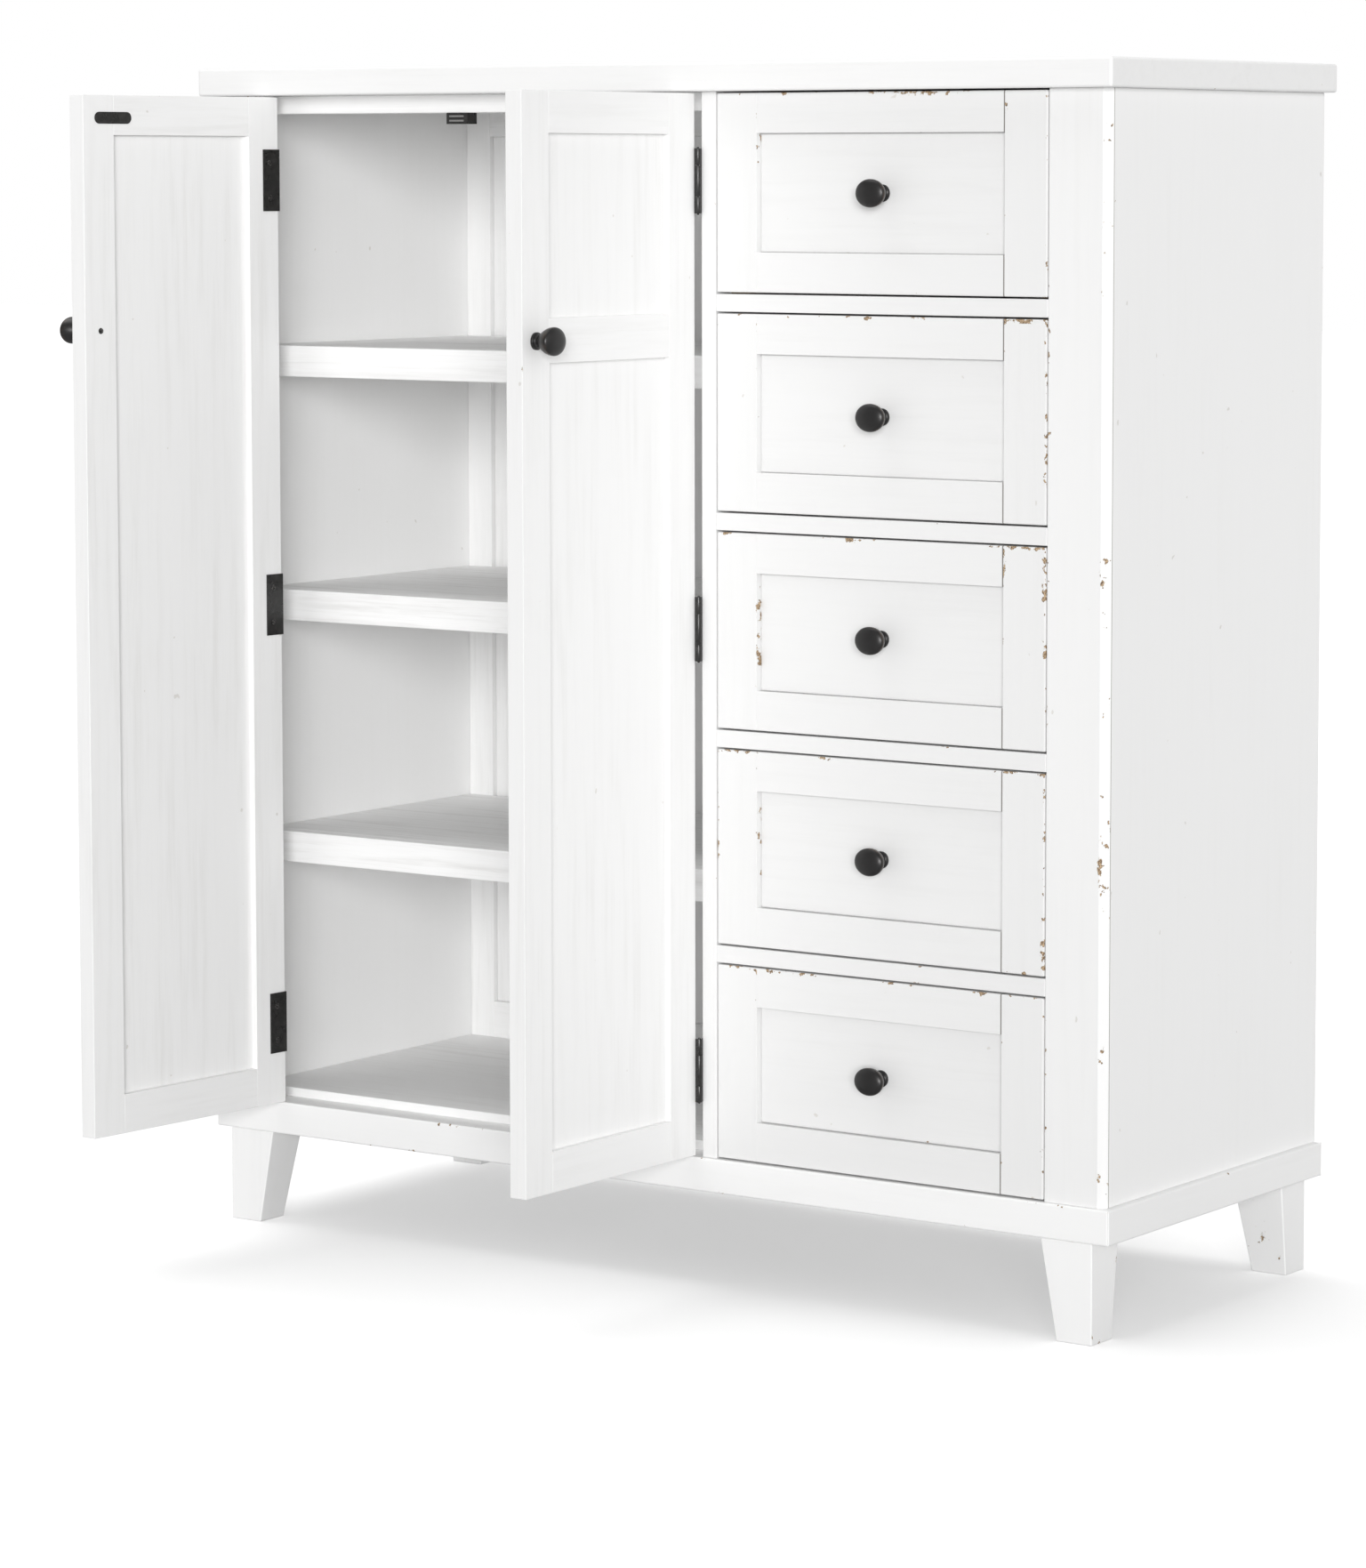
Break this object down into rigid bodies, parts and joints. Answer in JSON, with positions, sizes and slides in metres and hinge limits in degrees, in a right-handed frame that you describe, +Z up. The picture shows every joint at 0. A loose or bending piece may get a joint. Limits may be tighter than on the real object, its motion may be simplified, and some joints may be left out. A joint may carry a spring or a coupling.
{
  "type": "armoire",
  "caption": "Painted wooden armoire with panelled doors over open shelves, a stack of panelled drawers beside them, a plinth and short tapered legs.",
  "frame": {"origin": "on the floor under the middle of the whole object with both doors standing open as stored", "axes": "+Z up, +Y to the back, so the doors and drawers face -Y; +X to the drawer side"},
  "size_m": [1.22, 0.7742, 1.3385],
  "materials": {
    "painted_wood": "white paint, lightly brushed, chipped to the bare wood here and there along the edges",
    "painted_interior": "thin white paint inside, brushed so that the grain shows",
    "raw_wood": "clear sealed softwood of the drawer boxes and runners",
    "black_metal": "satin black",
    "knob_bronze": "dark, nearly black bronze, rubbed a little brown at the rim"
  },
  "bodies": {
    "cabinet": {"back_frame": "painted_interior", "back_panels": "painted_interior", "base_front_rail": "painted_wood", "base_rails": "painted_wood", "bottom_panel": "painted_interior", "drawer_dividers": "painted_wood", "drawer_runners": "raw_wood", "front_leg_left": "painted_wood", "front_leg_right": "painted_wood", "front_stile_left": "painted_wood", "front_stile_right": "painted_wood", "head_rail": "painted_interior", "hinge_frame_leaves": "black_metal", "hinge_pins": "black_metal", "magnetic_catches": "black_metal", "middle_stile": "painted_wood", "partition": "painted_interior", "rear_leg_left": "painted_wood", "rear_leg_right": "painted_wood", "shelf_cleats": "painted_interior", "shelf_lower": "painted_interior", "shelf_middle": "painted_interior", "shelf_upper": "painted_interior", "side_panel_left": "painted_wood", "side_panel_right": "painted_wood", "top_slab": "painted_wood"},
    "left_door": {"left_door_hinge_leaves": "black_metal", "left_door_knob": "knob_bronze", "left_door_panel": "painted_wood", "left_door_rails": "painted_wood", "left_door_screws": "black_metal", "left_door_stiles": "painted_wood", "left_door_strike_plate": "black_metal"},
    "right_door": {"right_door_hinge_leaves": "black_metal", "right_door_knob": "knob_bronze", "right_door_panel": "painted_wood", "right_door_rails": "painted_wood", "right_door_screws": "black_metal", "right_door_stiles": "painted_wood", "right_door_strike_plate": "black_metal"},
    "drawer_1": {"drawer_1_box": "raw_wood", "drawer_1_front_frame": "painted_wood", "drawer_1_front_panel": "painted_wood", "drawer_1_knob": "knob_bronze"},
    "drawer_2": {"drawer_2_box": "raw_wood", "drawer_2_front_frame": "painted_wood", "drawer_2_front_panel": "painted_wood", "drawer_2_knob": "knob_bronze"},
    "drawer_3": {"drawer_3_box": "raw_wood", "drawer_3_front_frame": "painted_wood", "drawer_3_front_panel": "painted_wood", "drawer_3_knob": "knob_bronze"},
    "drawer_4": {"drawer_4_box": "raw_wood", "drawer_4_front_frame": "painted_wood", "drawer_4_front_panel": "painted_wood", "drawer_4_knob": "knob_bronze"},
    "drawer_5": {"drawer_5_box": "raw_wood", "drawer_5_front_frame": "painted_wood", "drawer_5_front_panel": "painted_wood", "drawer_5_knob": "knob_bronze"}
  },
  "joints": [
    {"name": "left_door_hinge", "type": "hinge", "parent": "cabinet", "child": "left_door", "pos_m": [-0.5239, -0.08243, 0.7265], "axis": [0, 0, -1], "range_deg": [-94.6, 75]},
    {"name": "right_door_hinge", "type": "hinge", "parent": "cabinet", "child": "right_door", "pos_m": [0.0854, -0.08243, 0.7265], "axis": [0, 0, 1], "range_deg": [-89.2, 0]},
    {"name": "drawer_1_slide", "type": "slide", "parent": "cabinet", "child": "drawer_1", "axis": [0, -1, 0], "range_m": [0, 0.33]},
    {"name": "drawer_2_slide", "type": "slide", "parent": "cabinet", "child": "drawer_2", "axis": [0, -1, 0], "range_m": [0, 0.255]},
    {"name": "drawer_3_slide", "type": "slide", "parent": "cabinet", "child": "drawer_3", "axis": [0, -1, 0], "range_m": [0, 0.33]},
    {"name": "drawer_4_slide", "type": "slide", "parent": "cabinet", "child": "drawer_4", "axis": [0, -1, 0], "range_m": [0, 0.33]},
    {"name": "drawer_5_slide", "type": "slide", "parent": "cabinet", "child": "drawer_5", "axis": [0, -1, 0], "range_m": [0, 0.33]}
  ]
}
